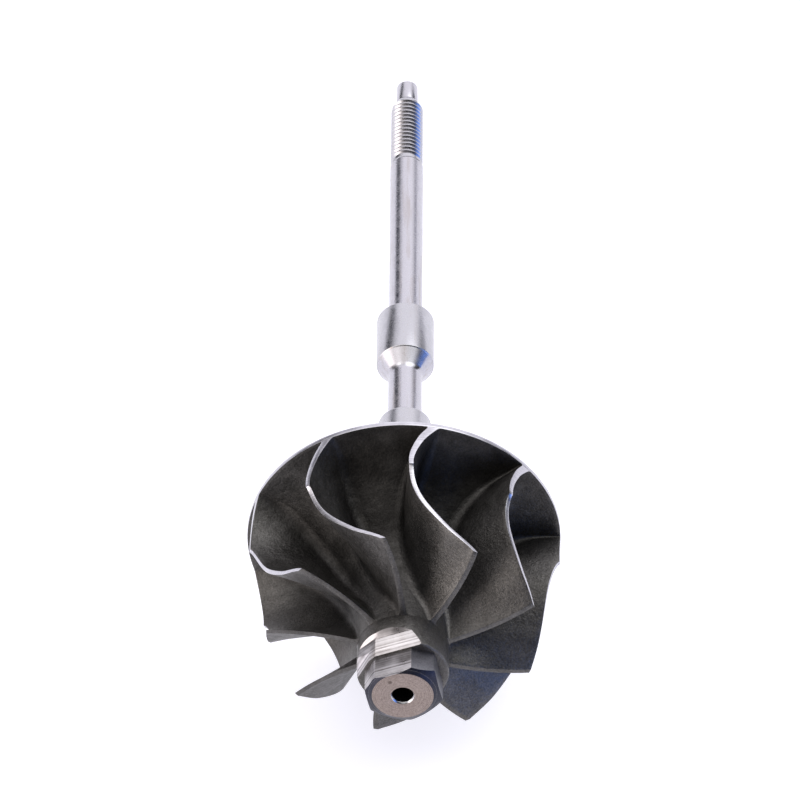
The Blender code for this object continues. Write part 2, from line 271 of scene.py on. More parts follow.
class Graph:
    """The nodes of one finish."""

    def __init__(self, name: str, axis: RotorAxis) -> None:
        """Start a finish.

        Args:
            name: The material's name.
            axis: Where the rotor lies, for patterns that follow its axis.
        """
        self.material = bpy.data.materials.new(name)
        self.material.use_nodes = True
        self.tree = self.material.node_tree
        self.shader = self.tree.nodes["Principled BSDF"]
        self.axis = axis

    def add(self, kind: str, inputs: dict[str | int, object], **settings: object) -> bpy.types.Node:
        """Add a node.

        Args:
            kind: The node's type, without the words ShaderNode.
            inputs: Values or sockets for its inputs.
            settings: Its other settings.

        Returns:
            The node.
        """
        node = self.tree.nodes.new("ShaderNode" + kind)
        for key, value in settings.items():
            setattr(node, key, value)
        for key, value in inputs.items():
            if isinstance(value, bpy.types.NodeSocket):
                self.tree.links.new(value, node.inputs[key])
            else:
                node.inputs[key].default_value = value
        return node

    def math(self, operation: str, *values: object) -> bpy.types.NodeSocket:
        """Add a math node.

        Args:
            operation: Its operation.
            values: Its inputs, in order.

        Returns:
            Its output.
        """
        node = self.add("Math", dict(enumerate(values)), operation=operation)
        return node.outputs[0]

    def place(self) -> bpy.types.NodeSocket:
        """The object's own coordinates, in millimetres of the frame."""
        texture = self.add("TexCoord", {})
        return self.add(
            "Mapping", {"Vector": texture.outputs["Object"], "Scale": (1000.0,) * 3}
        ).outputs[0]

    def along(self) -> tuple[bpy.types.NodeSocket, bpy.types.NodeSocket]:
        """Coordinates in the rotor's own space, in millimetres.

        Returns:
            The whole vector, and its part along the axis.
        """
        back = self.axis.matrix.inverted()
        texture = self.add("TexCoord", {})
        mapping = self.add("Mapping", {
            "Vector": texture.outputs["Object"],
            "Scale": (1000.0,) * 3,
            "Rotation": back.to_euler("XYZ"),
            "Location": back.translation * 1000.0,
        })
        parts = self.add("SeparateXYZ", {0: mapping.outputs[0]})
        return mapping.outputs[0], parts.outputs[2]

    def noise(
        self, vector: bpy.types.NodeSocket, scale: float, detail: float = 3.0,
        roughness: float = 0.55,
    ) -> bpy.types.NodeSocket:
        """Add a noise pattern.

        Args:
            vector: Its coordinates, in millimetres.
            scale: Its scale.
            detail: Its number of octaves.
            roughness: The share of its finer octaves.

        Returns:
            Its value.
        """
        node = self.add("TexNoise", {
            "Vector": vector, "Scale": scale, "Detail": detail, "Roughness": roughness,
        })
        return node.outputs["Fac"]

    def lines(self, place: bpy.types.NodeSocket, scale: float, detail: float = 2.0
              ) -> bpy.types.NodeSocket:
        """Add lines square to one coordinate.

        Args:
            place: The coordinate, in millimetres.
            scale: About how many lines there are in a millimetre.
            detail: Its number of octaves.

        Returns:
            Its value.
        """
        node = self.add("TexNoise", {"W": place, "Scale": scale, "Detail": detail},
                        noise_dimensions="1D")
        return node.outputs["Fac"]

    def ramp(self, value: bpy.types.NodeSocket, stops: Sequence[tuple[float, float]]
             ) -> bpy.types.NodeSocket:
        """Shape a value by a curve of straight stretches.

        Args:
            value: The value.
            stops: Points of the curve, as (value, result).

        Returns:
            The result.
        """
        node = self.add("ValToRGB", {0: value})
        elements = node.color_ramp.elements
        while len(elements) < len(stops):
            elements.new(0.5)
        for element, (position, result) in zip(elements, stops):
            element.position = position
            element.color = (result, result, result, 1.0)
        return node.outputs[0]

    def mix(self, share: object, first: object, second: object) -> bpy.types.NodeSocket:
        """Mix two colours.

        Args:
            share: How much of the second.
            first: The first colour.
            second: The second colour.

        Returns:
            The mixed colour.
        """
        colours = [(*c, 1.0) if isinstance(c, tuple) else c for c in (first, second)]
        node = self.add("Mix", {0: share, 6: colours[0], 7: colours[1]}, data_type="RGBA")
        return node.outputs[2]

    def bump(self, height: bpy.types.NodeSocket, depth: float, normal: object = None
             ) -> bpy.types.NodeSocket:
        """Add a bump.

        Args:
            height: The pattern.
            depth: Its depth in metres.
            normal: The normal of another bump below it.

        Returns:
            The new normal.
        """
        inputs = {"Height": height, "Distance": depth, "Strength": 1.0}
        if normal is not None:
            inputs["Normal"] = normal
        return self.add("Bump", inputs).outputs[0]

    def finish(self, **sockets: object) -> bpy.types.Material:
        """Set the shader's sockets.

        Args:
            sockets: Values or links, by the socket's name with _ for a space.

        Returns:
            The finished material.
        """
        for key, value in sockets.items():
            socket = self.shader.inputs[key.replace("_", " ")]
            if isinstance(value, bpy.types.NodeSocket):
                self.tree.links.new(value, socket)
            elif isinstance(value, tuple):
                socket.default_value = (*value, 1.0)
            else:
                socket.default_value = value
        return self.material


@dataclass(frozen=True)
class CastAlloy:
    """The wheel's cast skin: satin, dark grey-brown, with a fine grain, and painted shade that
    darkens it to near black deep in the passages.
    """

    name: str = "cast_alloy"
    deep: Colour = (0.046, 0.043, 0.040)
    light: Colour = (0.165, 0.158, 0.154)
    metallic: float = 0.85
    roughness: tuple[float, float] = (0.38, 0.52)
    grain: float = 3.0
    grain_depth: float = 0.06 * MM
    # painted shade: a near-black colour laid over the cast skin deep in the passages, near the disc
    # and down at the hub, where shade falls
    passage_shade: Colour = (0.004, 0.0035, 0.003)
    passage_shade_stops: tuple[tuple[float, float], ...] = (
        (0.02, 0.97), (0.16, 0.93), (0.32, 0.6), (0.44, 0.25), (0.56, 0.0), (0.9, 0.0),
    )
    passage_shade_reach: float = 30.0
    passage_shade_slant: float = 1.0

    def depth(self, graph: Graph) -> bpy.types.NodeSocket:
        """How far out of the passages a place is, which sets the painted shade: 0 deep inside, 1 at
        the nose.

        Args:
            graph: The material's nodes.

        Returns:
            The value.
        """
        place, along = graph.along()
        parts = graph.add("SeparateXYZ", {0: place}).outputs
        radius = graph.math("SQRT", graph.math(
            "MULTIPLY_ADD", parts[0], parts[0], graph.math("MULTIPLY", parts[1], parts[1])
        ))
        off = graph.math("MULTIPLY_ADD", radius, self.passage_shade_slant / 27.0, -0.6 * self.passage_shade_slant)
        return graph.math("ADD", graph.math("DIVIDE", along, self.passage_shade_reach), off)

    def build(self, axis: RotorAxis) -> bpy.types.Material:
        """Make the material.

        Args:
            axis: Where the rotor lies.

        Returns:
            The material.
        """
        graph = Graph(self.name, axis)
        place = graph.place()
        grain = graph.noise(place, self.grain, 4.0, 0.65)
        cloud = graph.noise(place, 0.16, 2.0)
        mottle = graph.noise(place, 0.9, 3.0)
        shade = graph.math("MULTIPLY_ADD", grain, 0.6, graph.math("MULTIPLY", cloud, 0.4))
        colour = graph.mix(graph.ramp(shade, ((0.3, 0.0), (0.7, 1.0))), self.deep, self.light)
        depth = graph.math("ADD", self.depth(graph), graph.math("MULTIPLY_ADD", cloud, 0.3, -0.15))
        # painted shade: the colour darkens the deeper a place lies between the vanes
        colour = graph.mix(graph.ramp(depth, self.passage_shade_stops), colour, self.passage_shade)
        low, high = self.roughness
        rough = graph.ramp(mottle, ((0.3, low), (0.7, high)))
        normal = graph.bump(mottle, self.grain_depth * 2.0)
        normal = graph.bump(grain, self.grain_depth, normal)
        return graph.finish(
            Base_Color=colour, Metallic=self.metallic, Roughness=rough, Normal=normal,
        )


@dataclass(frozen=True)
class CutMetal:
    """Bright metal where a tool has cut the casting, with the tool's fine lines."""

    name: str
    dark: Colour
    light: Colour
    roughness: tuple[float, float]
    lines_per_mm: float = 6.0
    line_depth: float = 0.006 * MM

    def build(self, axis: RotorAxis) -> bpy.types.Material:
        """Make the material.

        Args:
            axis: Where the rotor lies.

        Returns:
            The material.
        """
        graph = Graph(self.name, axis)
        place, along = graph.along()
        lines = graph.lines(along, self.lines_per_mm)
        cloud = graph.noise(place, 0.5)
        shade = graph.math("MULTIPLY_ADD", lines, 0.6, graph.math("MULTIPLY", cloud, 0.4))
        colour = graph.mix(graph.ramp(shade, ((0.3, 0.0), (0.62, 1.0))), self.dark, self.light)
        low, high = self.roughness
        return graph.finish(
            Base_Color=colour, Metallic=1.0, Roughness=graph.ramp(cloud, ((0.3, low), (0.7, high))),
            Normal=graph.bump(lines, self.line_depth),
        )


@dataclass(frozen=True)
class TintedEnd:
    """The nose's turned end face: tan, with faint rings, scratches and one dark spot."""

    name: str = "tinted_end"
    dark: Colour = (0.17, 0.130, 0.110)
    light: Colour = (0.35, 0.290, 0.265)
    spot: tuple[float, float] = (-2.2, 3.2)
    spot_radius: float = 0.32

    def build(self, axis: RotorAxis) -> bpy.types.Material:
        """Make the material.

        Args:
            axis: Where the rotor lies.

        Returns:
            The material.
        """
        graph = Graph(self.name, axis)
        place, _ = graph.along()
        parts = graph.add("SeparateXYZ", {0: place}).outputs
        radius = graph.math("SQRT", graph.math(
            "MULTIPLY_ADD", parts[0], parts[0], graph.math("MULTIPLY", parts[1], parts[1])
        ))
        rings = graph.lines(radius, 7.0, 3.0)
        speckle = graph.noise(place, 3.0, 4.0, 0.7)
        stretched = graph.add("Mapping", {"Vector": place, "Scale": (4.0, 0.6, 1.0)}).outputs[0]
        scratches = graph.noise(stretched, 2.4, 4.0, 0.7)
        shade = graph.math("MULTIPLY_ADD", rings, 0.35, graph.math("MULTIPLY", speckle, 0.4))
        shade = graph.math("MULTIPLY_ADD", scratches, 0.25, shade)
        colour = graph.mix(graph.ramp(shade, ((0.36, 0.0), (0.6, 1.0))), self.dark, self.light)
        away = graph.math("SQRT", graph.math(
            "ADD",
            graph.math("POWER", graph.math("SUBTRACT", parts[0], self.spot[0]), 2.0),
            graph.math("POWER", graph.math("SUBTRACT", parts[1], self.spot[1]), 2.0),
        ))
        mark = graph.ramp(graph.math("DIVIDE", away, self.spot_radius * 2.0),
                          ((0.3, 0.75), (0.8, 0.0)))
        colour = graph.mix(mark, colour, (0.07, 0.05, 0.04))
        return graph.finish(
            Base_Color=colour, Metallic=0.75, Roughness=graph.ramp(shade, ((0.3, 0.5), (0.7, 0.36))),
            Normal=graph.bump(shade, 0.012 * MM),
        )


@dataclass(frozen=True)
class ShaftSteel:
    """The shaft's steel: fine lines round it, long faint stains along it, a few brown specks."""

    name: str
    colour: Colour = (0.49, 0.48, 0.52)
    stain: Colour = (0.30, 0.25, 0.21)
    stain_share: float = 0.35
    roughness: tuple[float, float] = (0.20, 0.32)
    lines_per_mm: float = 8.0
    line_depth: float = 0.003 * MM

    def build(self, axis: RotorAxis) -> bpy.types.Material:
        """Make the material.

        Args:
            axis: Where the rotor lies.

        Returns:
            The material.
        """
        graph = Graph(self.name, axis)
        place, along = graph.along()
        lines = graph.lines(along, self.lines_per_mm)
        long = graph.add("Mapping", {"Vector": place, "Scale": (1.0, 1.0, 0.09)}).outputs[0]
        streaks = graph.noise(long, 0.9, 3.0)
        stains = graph.ramp(streaks, ((0.54, 0.0), (0.72, self.stain_share)))
        specks = graph.ramp(graph.noise(place, 1.3, 4.0, 0.6), ((0.68, 0.0), (0.74, 0.6)))
        colour = graph.mix(stains, self.colour, self.stain)
        colour = graph.mix(specks, colour, (0.42, 0.30, 0.22))
        low, high = self.roughness
        cloud = graph.noise(place, 0.7, 3.0)
        return graph.finish(
            Base_Color=colour, Metallic=1.0, Roughness=graph.ramp(cloud, ((0.3, low), (0.7, high))),
            Normal=graph.bump(lines, self.line_depth),
        )


@dataclass(frozen=True)
class WheelForm:
    """The wheel's curves, which its hub and its vanes share."""

    radius: float = 27.5 * MM
    rim_front: float = 0.9 * MM
    hub_length: float = 28.0 * MM
    hub_hollow: float = 1.9
    nose_radius: float = 8.0 * MM
    inlet_width: float = 10.4 * MM
    exducer_place: float = 24.9 * MM
    exducer_radius: float = 23.8 * MM
    shroud_hollow: float = 1.5
    camber: tuple[tuple[float, float], ...] = (
        (0.0, -28.0), (4.4, -34.4), (9.8, -37.6), (15.8, -34.0), (21.4, -21.8),
        (24.9, -8.7), (28.0, -1.0), (31.0, 2.0),
    )

    def hub_point(self, u: float) -> tuple[float, float]:
        """The hub's outline.

        Args:
            u: 0 at the rim, 1 at the nose.

        Returns:
            The radius and the place along the axis.
        """
        turn = u * math.pi / 2.0
        power = 2.0 / self.hub_hollow
        radius = self.radius - (self.radius - self.nose_radius) * math.sin(turn) ** power
        length = self.hub_length - self.rim_front
        return radius, self.rim_front + length * (1.0 - max(math.cos(turn), 0.0) ** power)

    def shroud_point(self, u: float) -> tuple[float, float]:
        """The vanes' outer edge.

        Args:
            u: 0 at the inlet's corner, 1 at the exducer's tip.

        Returns:
            The radius and the place along the axis.
        """
        turn = u * math.pi / 2.0
        power = 2.0 / self.shroud_hollow
        radius = self.radius - (self.radius - self.exducer_radius) * math.sin(turn) ** power
        length = self.exducer_place - self.inlet_width
        return radius, self.inlet_width + length * (1.0 - max(math.cos(turn), 0.0) ** power)

    def vane_angle(self, place: float) -> float:
        """The vanes' angle round the axis.

        Args:
            place: The place along the axis.

        Returns:
            The angle in degrees, clockwise from upwards, of the first vane.
        """
        stations = self.camber
        x = place / MM
        right = 1
        while right < len(stations) - 1 and x > stations[right][0]:
            right += 1
        left = right - 1

        def slope(index: int) -> float:
            """The curve's slope at a station."""
            before = stations[max(index - 1, 0)]
            after = stations[min(index + 1, len(stations) - 1)]
            return (after[1] - before[1]) / (after[0] - before[0])

        width = stations[right][0] - stations[left][0]
        share = (x - stations[left][0]) / width
        rise = stations[right][1] - stations[left][1]
        start, end = slope(left) * width, slope(right) * width
        curve = share * start + share ** 2 * (3.0 * rise - 2.0 * start - end)
        return stations[left][1] + curve + share ** 3 * (start + end - 2.0 * rise)


@dataclass(frozen=True)
class Vanes:
    """The nine swept vanes, each with its round root fillets."""

    form: WheelForm
    cast: bpy.types.Material
    edge: bpy.types.Material
    count: int = 9
    edge_thickness: float = 0.74 * MM
    root_thickness: float = 1.4 * MM
    trailing_thinning: float = 0.3
    trailing_start: float = 0.6
    fillet: float = 1.6 * MM
    rim_fillet: float = 0.5 * MM
    sink: float = 0.03 * MM
    flow_steps: int = 60
    fillet_steps: int = 7
    span_steps: int = 12
    corner: float = 0.05 * MM

    def rows(self) -> int:
        """The number of points from a vane's root to its edge."""
        return self.fillet_steps + self.span_steps + 1

    def height(self, u: float, row: int) -> tuple[float, float]:
        """Where a row of points lies on a vane.

        Args:
            u: The place along the flow.
            row: The row, 0 at the root.

        Returns:
            The share of the span, and the width that the fillet adds on each side.
        """
        hub, shroud = self.form.hub_point(u), self.form.shroud_point(u)
        span = math.hypot(shroud[0] - hub[0], shroud[1] - hub[1])
        grow = min(u / 0.35, 1.0, (1.0 - u) / 0.25 + 0.12)
        fillet = self.rim_fillet + (self.fillet - self.rim_fillet) * grow * grow * (3 - 2 * grow)
        if row <= self.fillet_steps:
            turn = math.pi / 2.0 * (1.0 - row / self.fillet_steps)
            return fillet * (1.0 - math.sin(turn)) / span, fillet * (1.0 - math.cos(turn))
        share = (row - self.fillet_steps) / self.span_steps
        start = fillet / span
        return start + (1.0 - start) * share, 0.0

    def middle(self, u: float, v: float) -> Vector:
        """A point of the first vane's middle surface.

        Args:
            u: The place along the flow.
            v: The share of the span.

        Returns:
            The point, in the rotor's own space.
        """
        hub, shroud = self.form.hub_point(u), self.form.shroud_point(u)
        radius = hub[0] + (shroud[0] - hub[0]) * v
        place = hub[1] + (shroud[1] - hub[1]) * v
        angle = math.radians(self.form.vane_angle(place))
        return Vector((radius * math.sin(angle), radius * math.cos(angle), place))

    def surface(self, column: int, row: int, side: float) -> Vector:
        """A point of one side of the first vane.

        Args:
            column: Its number along the flow.
            row: Its number from the root.
            side: 1 for the clockwise side, -1 for the other.

        Returns:
            The point, in the rotor's own space.
        """
        u = column / self.flow_steps
        v, flare = self.height(u, row)
        step = 0.001
        middle = self.middle(u, v)
        along = self.middle(min(u + step, 1.0), v) - self.middle(max(u - step, 0.0), v)
        across = self.middle(u, min(v + step, 1.0)) - self.middle(u, max(v - step, 0.0))
        normal = along.cross(across).normalized()
        radius = math.hypot(middle.x, middle.y)
        sideways = Vector((middle.y, -middle.x, 0.0)) / radius
        thickness = self.edge_thickness + (self.root_thickness - self.edge_thickness) * (1.0 - v)
        thinning = max(u - self.trailing_start, 0.0) / (1.0 - self.trailing_start)
        thickness *= 1.0 - self.trailing_thinning * thinning
        shift = side * (thickness / 2.0 / abs(normal.dot(sideways)) + flare)
        return Matrix.Rotation(-shift / radius, 3, "Z") @ middle

    def side_sheet(self, side: float) -> bpy.types.Object:
        """One side of the first vane: a grid laid on its surface.

        Args:
            side: 1 for the clockwise side, -1 for the other.

        Returns:
            The sheet.
        """
        bpy.ops.object.select_all(action="DESELECT")
        bpy.ops.mesh.primitive_grid_add(
            x_subdivisions=self.flow_steps, y_subdivisions=self.rows() - 1, size=2.0
        )
        sheet = Bench.named("vane_side")
        for point in sheet.data.vertices:
            column = round((point.co.x + 1.0) / 2.0 * self.flow_steps)
            row = round((point.co.y + 1.0) / 2.0 * (self.rows() - 1))
            point.co = self.surface(column, row, side)
        return sheet

    def first(self) -> bpy.types.Object:
        """The first vane: its two sides joined and bridged round their edges."""
        left, right = self.side_sheet(-1.0), self.side_sheet(1.0)
        half = len(left.data.vertices)
        Bench.pick(left, right)
        bpy.ops.object.join()
        vane = Bench.named("vane")
        with Bench.editing(vane, "DESELECT"):
            bpy.ops.mesh.select_non_manifold()
            bpy.ops.mesh.bridge_edge_loops()
            bpy.ops.mesh.select_all(action="SELECT")
            bpy.ops.mesh.normals_make_consistent(inside=False)
        vane.data.materials.append(self.cast)
        vane.data.materials.append(self.edge)
        width = self.flow_steps + 1
        for face in vane.data.polygons:
            corners = [corner % half for corner in face.vertices]
            bridged = min(face.vertices) < half <= max(face.vertices)
            on_edge = all(corner // width == self.rows() - 1 for corner in corners)
            at_inlet = all(corner % width == 0 for corner in corners)
            if bridged and (on_edge or at_inlet):
                face.material_index = 1
        Bench.bevel(vane, self.corner, 50.0)
        return vane

    def build(self, axis: RotorAxis) -> None:
        """Make all vanes.

        Args:
            axis: Where the rotor lies.
        """
        model = self.first()
        for number in range(1, self.count + 1):
            vane = model.copy()
            vane.data = model.data.copy()
            bpy.context.scene.collection.objects.link(vane)
            vane.name = vane.data.name = f"vane_{number}"
            turn = -math.tau / self.count * (number - 1)
            vane.data.transform(Matrix.Rotation(turn, 4, "Z"))
            Bench.finish_piece(vane, axis, Slot.WHEEL, [f"blade_{number}"], 40.0)
        bpy.data.objects.remove(model, do_unlink=True)


@dataclass(frozen=True)
class Wheel:
    """The wheel's disc and hub."""

    form: WheelForm
    cast: bpy.types.Material
    machined: bpy.types.Material
    sides: int = 180
    hub_steps: int = 48
    hub_foot: float = 0.02
    rim_land: float = 1.9 * MM
    back_depth: float = 5.6 * MM
    boss_radius: float = 4.7 * MM
    back_fillet: float = 2.2 * MM
    rim_corner: float = 0.08 * MM

    def disc(self) -> bpy.types.Object:
        """The full back disc, with its turned rim and its shallow cone behind."""
        radius, front = self.form.radius, self.form.rim_front
        back = -self.back_depth
        outline = [(1.0 * MM, back), (self.boss_radius, back)]
        steps = 8
        for step in range(1, steps + 1):
            turn = step / steps * math.radians(74.0)
            outline.append((
                self.boss_radius + self.back_fillet * (1.0 - math.cos(turn)),
                back + self.back_fillet * math.sin(turn),
            ))
        outline += [
            (radius - self.rim_land - 0.15 * MM, -0.1 * MM),
            (radius - self.rim_land, 0.0),
            (radius, 0.0),
            (radius, front),
            (1.0 * MM, front),
        ]
        piece = Bench.turned("wheel_disc", outline, self.sides)
        piece.data.materials.append(self.cast)
        limit = radius - self.rim_land

        def turned_face(point: Vector) -> bool:
            """Whether a face is on the rim or its land."""
            return math.hypot(point.x, point.y) > limit

        Bench.paint(piece, self.machined, turned_face)
        Bench.bevel(piece, self.rim_corner)
        return piece

    def hub(self) -> bpy.types.Object:
        """The hub's concave cone between the vanes, up to the nose."""
        foot = self.form.hub_point(self.hub_foot)
        outline = [(foot[0], self.form.rim_front - 0.2 * MM)]
        for step in range(self.hub_steps + 1):
            u = self.hub_foot + (1.0 - self.hub_foot) * step / self.hub_steps
            outline.append(self.form.hub_point(u))
        piece = Bench.turned("wheel_hub", outline, self.sides)
        piece.data.materials.append(self.cast)
        return piece

    def build(self, axis: RotorAxis) -> None:
        """Make the disc and the hub.

        Args:
            axis: Where the rotor lies.
        """
        Bench.finish_piece(self.disc(), axis, Slot.WHEEL, ["back_disc"])
        Bench.finish_piece(self.hub(), axis, Slot.WHEEL, ["hub"])


@dataclass(frozen=True)
class GroundCut:
    """One balance cut: a sloping facet on the nose and a flat along the hexagon."""

    angle: float
    start_place: float
    start: float
    end: float
    flat_angle: float
    flat: float


@dataclass(frozen=True)
class Nose:
    """The round nose, the hexagon and the drilled end, with the balance cuts."""

    form: WheelForm
    cast: bpy.types.Material
    hexagon_skin: bpy.types.Material
    # painted shade: the darker copy of the cast skin on the chamfers
    shaded_chamfer_skin: bpy.types.Material
    ground: bpy.types.Material
    end_face: bpy.types.Material
    # painted shade: the nearly black finish inside the drilled centre
    painted_bore_shade: bpy.types.Material
    lip: bpy.types.Material
    sides: int = 120
    shoulder: float = 34.35 * MM
    corner: float = 0.35 * MM
    flats: float = 12.75 * MM
    corner_angle: float = 48.5
    hex_end: float = 39.35 * MM
    end: float = 39.75 * MM
    end_radius: float = 5.35 * MM
    chamfer_slope: float = 1.55
    hole_radius: float = 1.8 * MM
    hole_depth: float = 4.5 * MM
    hole_cone: float = 1.0 * MM
    hole_lip: float = 0.22 * MM
    sleeve_radius: float = 2.6 * MM
    wall_slope: float = 0.58
    reach: float = 12.0 * MM
    margin: float = 0.5 * MM
    cuts: tuple[GroundCut, ...] = (
        GroundCut(-21.3, 31.5 * MM, 6.82 * MM, 5.62 * MM, -21.3, 5.31 * MM),
        GroundCut(-46.0, 31.3 * MM, 7.30 * MM, 6.34 * MM, -50.0, 6.14 * MM),
        GroundCut(-65.0, 33.1 * MM, 6.86 * MM, 6.62 * MM, -65.0, 6.15 * MM),
    )

    def chamfer_radius(self, place: float) -> float:
        """The radius of the front chamfer's cone.

        Args:
            place: The place along the axis.

        Returns:
            The radius there.
        """
        return self.end_radius + (self.end - place) * self.chamfer_slope

    def grinding_block(
        self, angle: float, rear: tuple[float, float], front: tuple[float, float]
    ) -> bpy.types.Object:
        """A block whose lower face grinds a facet.

        Args:
            angle: The facet's angle round the axis, in degrees.
            rear: The place along the axis and the distance off it where the facet starts.
            front: The same where it ends.

        Returns:
            The block.
        """
        bpy.ops.object.select_all(action="DESELECT")
        bpy.ops.mesh.primitive_cube_add(size=2.0)
        block = Bench.named("grinding_block")
        wall = (self.reach - rear[1]) * self.wall_slope
        for point in block.data.vertices:
            ahead = point.co.z > 0.0
            place, distance = front if ahead else rear
            if point.co.y > 0.0:
                place, distance = place - (0.0 if ahead else wall), self.reach
            point.co = Vector((point.co.x * self.reach, distance, place))
        block.data.transform(Matrix.Rotation(math.radians(-angle), 4, "Z"))
        block.data.materials.append(self.ground)
        with Bench.editing(block):
            bpy.ops.mesh.normals_make_consistent(inside=False)
        return block

    def grind_flats(self, piece: bpy.types.Object) -> None:
        """Grind the flats along the hexagon into a piece.

        Args:
            piece: The piece.
        """
        for cut in self.cuts:
            rear = (self.shoulder - self.margin, cut.flat)
            front = (self.end + self.margin, cut.flat)
            block = self.grinding_block(cut.flat_angle, rear, front)
            Bench.combine(piece, block, "DIFFERENCE")

    def round_nose(self) -> bpy.types.Object:
        """The round nose in front of the vanes, with its ground facets."""
        radius = self.form.nose_radius
        outline = [
            (radius, self.form.hub_length - 0.2 * MM),
            (radius, self.shoulder - self.corner),
            (radius - self.corner * 0.3, self.shoulder - self.corner * 0.3),
            (radius - self.corner, self.shoulder),
        ]
        piece = Bench.turned("round_nose", outline, self.sides)
        piece.data.materials.append(self.cast)
        for cut in self.cuts:
            slope = (cut.end - cut.start) / (self.shoulder - cut.start_place)
            beyond = (self.shoulder + self.margin, cut.end + slope * self.margin)
            block = self.grinding_block(cut.angle, (cut.start_place, cut.start), beyond)
            Bench.combine(piece, block, "DIFFERENCE")
        Bench.bevel(piece, 0.05 * MM, 20.0)
        return piece

    def hexagon(self) -> bpy.types.Object:
        """The hexagon, with its corners turned down in front and its ground flats."""
        across = self.flats / 2.0 / math.cos(math.pi / 6.0)
        bpy.ops.object.select_all(action="DESELECT")
        length = self.hex_end - self.shoulder
        bpy.ops.mesh.primitive_cylinder_add(
            vertices=6, radius=across, depth=length + 0.2 * MM,
            location=(0.0, 0.0, (self.shoulder + self.hex_end) / 2.0 - 0.1 * MM),
        )
        piece = Bench.named("hexagon")
        turn = math.radians(-self.corner_angle)
        Bench.pick(piece)
        bpy.ops.object.transform_apply(location=True, rotation=True, scale=True)
        piece.data.transform(Matrix.Rotation(turn, 4, "Z"))
        piece.data.materials.append(self.hexagon_skin)
        Bench.bevel(piece, 0.25 * MM)
        low = self.shoulder - 2.0 * MM
        cone = Bench.turned("cone", [
            (self.chamfer_radius(low), low), (self.chamfer_radius(self.hex_end), self.hex_end),
            (self.chamfer_radius(self.hex_end) - 0.5 * MM, self.hex_end + 0.3 * MM),
        ], self.sides)
        # painted shade: the turned-down corners get a darker, bluer copy of the hexagon's cast skin
        # in place of the shade on the chamfers
        cone.data.materials.append(self.shaded_chamfer_skin)
        Bench.combine(piece, cone, "INTERSECT")
        self.grind_flats(piece)
        drill = self.sleeve_radius - 0.2 * MM
        hole = Bench.turned("hole", [
            (drill, self.shoulder - self.margin), (drill, self.end + self.margin),
        ], self.sides)
        # painted shade: the bore's nearly black finish also lines the hole through the hexagon
        hole.data.materials.append(self.painted_bore_shade)
        Bench.combine(piece, hole, "DIFFERENCE")
        Bench.bevel(piece, 0.06 * MM, 25.0)
        return piece

    def drilled_end(self) -> bpy.types.Object:
        """The end ring, turned tan, with its drilled centre."""
        outline = [
            (self.sleeve_radius, self.shoulder - self.margin),
            (self.sleeve_radius, self.hex_end - 0.3 * MM),
            (self.chamfer_radius(self.hex_end) - 0.02 * MM, self.hex_end - 0.02 * MM),
            (self.end_radius, self.end),
            (self.hole_radius + self.hole_lip, self.end),
            (self.hole_radius, self.end - self.hole_lip * 1.2),
            (self.hole_radius, self.end - self.hole_depth),
            (0.01 * MM, self.end - self.hole_depth - self.hole_cone * 0.9),
        ]
        piece = Bench.turned("drilled_end", outline, self.sides)
        # painted shade: the sleeve and the front chamfer round the end face get the darker copy of
        # the cast skin
        piece.data.materials.append(self.shaded_chamfer_skin)
        face = self.end - 0.01 * MM

        def on_face(point: Vector) -> bool:
            """Whether a face is the ring at the very end."""
            return point.z > face

        def in_hole(point: Vector) -> bool:
            """Whether a face is inside the drilled centre."""
            return math.hypot(point.x, point.y) < self.hole_radius + self.hole_lip

        def on_lip(point: Vector) -> bool:
            """Whether a face is on the small chamfer round the drilled centre."""
            return in_hole(point) and face > point.z > self.end - self.hole_lip * 1.1

        # painted shade: the walls of the drilled centre get the nearly black finish
        Bench.paint(piece, self.painted_bore_shade, in_hole)
        Bench.paint(piece, self.end_face, on_face)
        Bench.paint(piece, self.lip, on_lip)
        self.grind_flats(piece)
        Bench.bevel(piece, 0.04 * MM, 20.0)
        return piece

    def build(self, axis: RotorAxis) -> None:
        """Make the nose's three pieces.

        Args:
            axis: Where the rotor lies.
        """
        Bench.finish_piece(self.round_nose(), axis, Slot.WHEEL, ["hub_nose"])
        Bench.finish_piece(self.hexagon(), axis, Slot.WHEEL, ["hex_nose"])
        Bench.finish_piece(self.drilled_end(), axis, Slot.NOSE_END, ["nose_end"])


